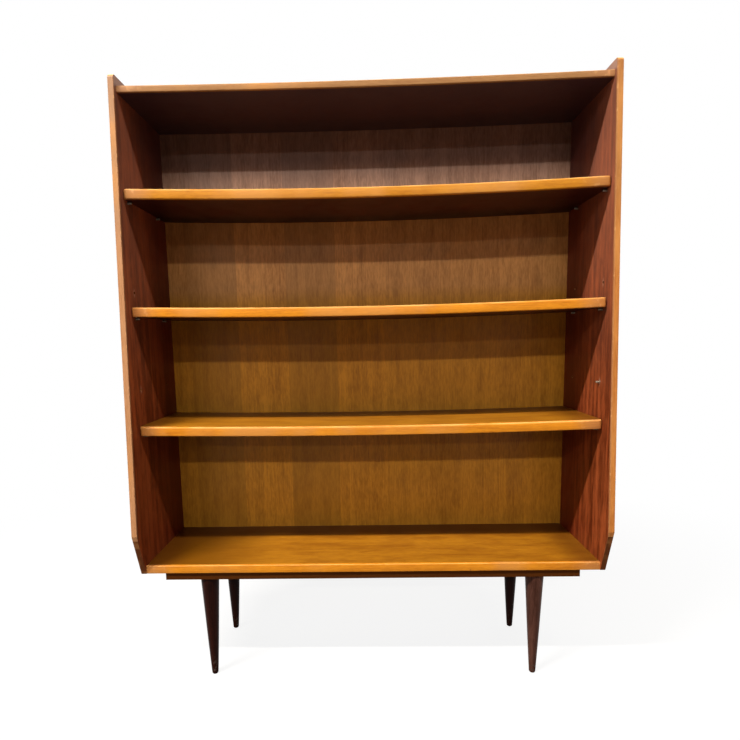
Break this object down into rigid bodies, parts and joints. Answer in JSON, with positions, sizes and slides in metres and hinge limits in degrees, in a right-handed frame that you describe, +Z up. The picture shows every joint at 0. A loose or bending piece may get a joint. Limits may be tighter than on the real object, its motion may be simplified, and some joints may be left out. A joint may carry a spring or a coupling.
{
  "type": "bookcase with adjustable shelves",
  "caption": "Free-standing bookcase: leaning-front sides, loose shelves on steel pins, fixed top and bottom boards, back panel, and a flat frame with turned tapered legs.",
  "frame": {"origin": "on the floor, under the middle of the case: the bottom centre of the bounding box", "axes": "+Z up, the open front faces -Y, +X to the right seen from the front"},
  "size_m": [1.2, 0.336, 1.531],
  "materials": {
    "side_panel": "satin lacquer over reddish mahogany veneer",
    "lipping": "satin lacquer over solid light amber beech",
    "board_veneer": "satin lacquer over golden veneer",
    "shelf_veneer": "satin lacquer over golden veneer",
    "back_veneer": "satin lacquer over straight-grained brown veneer",
    "rail_wood": "thin lacquer over brown-stained wood",
    "leg_wood": "dark red-brown stain and lacquer, worn at the foot",
    "dowel_wood": "bare",
    "pin_steel": "dull nickel",
    "fixing_steel": "plain, slightly dull"
  },
  "bodies": {
    "case": {"left_side_panel": "side_panel", "left_side_lipping": "lipping", "right_side_panel": "side_panel", "right_side_lipping": "lipping", "top_board": "board_veneer", "top_board_lipping": "lipping", "bottom_board": "board_veneer", "bottom_board_lipping": "lipping", "back_panel": "back_veneer", "back_panel_nails": "fixing_steel", "top_board_dowels": "dowel_wood", "bottom_board_dowels": "dowel_wood", "lower_shelf_pins": "pin_steel", "middle_shelf_pins": "pin_steel", "upper_shelf_pins": "pin_steel", "front_rail": "rail_wood", "rear_rail": "rail_wood", "left_end_rail": "rail_wood", "right_end_rail": "rail_wood", "frame_dowels": "dowel_wood", "frame_screws": "fixing_steel", "front_left_leg": "leg_wood", "front_right_leg": "leg_wood", "rear_left_leg": "leg_wood", "rear_right_leg": "leg_wood", "leg_hanger_bolts": "fixing_steel", "leg_inserts": "fixing_steel"},
    "lower_shelf": {"lower_shelf": "shelf_veneer", "lower_shelf_lipping": "lipping"},
    "middle_shelf": {"middle_shelf": "shelf_veneer", "middle_shelf_lipping": "lipping"},
    "upper_shelf": {"upper_shelf": "shelf_veneer", "upper_shelf_lipping": "lipping"},
    "spare_pin": {"spare_shelf_pin": "pin_steel"}
  },
  "joints": [
    {"name": "lower_shelf_slide", "type": "slide", "parent": "case", "child": "lower_shelf", "axis": [0, -1, 0], "range_m": [0, 0.33]},
    {"name": "middle_shelf_slide", "type": "slide", "parent": "case", "child": "middle_shelf", "axis": [0, -1, 0], "range_m": [0, 0.33]},
    {"name": "upper_shelf_slide", "type": "slide", "parent": "case", "child": "upper_shelf", "axis": [0, -1, 0], "range_m": [0, 0.33]},
    {"name": "spare_pin_slide", "type": "slide", "parent": "case", "child": "spare_pin", "axis": [-1, 0, 0], "range_m": [0, 0.03]}
  ]
}
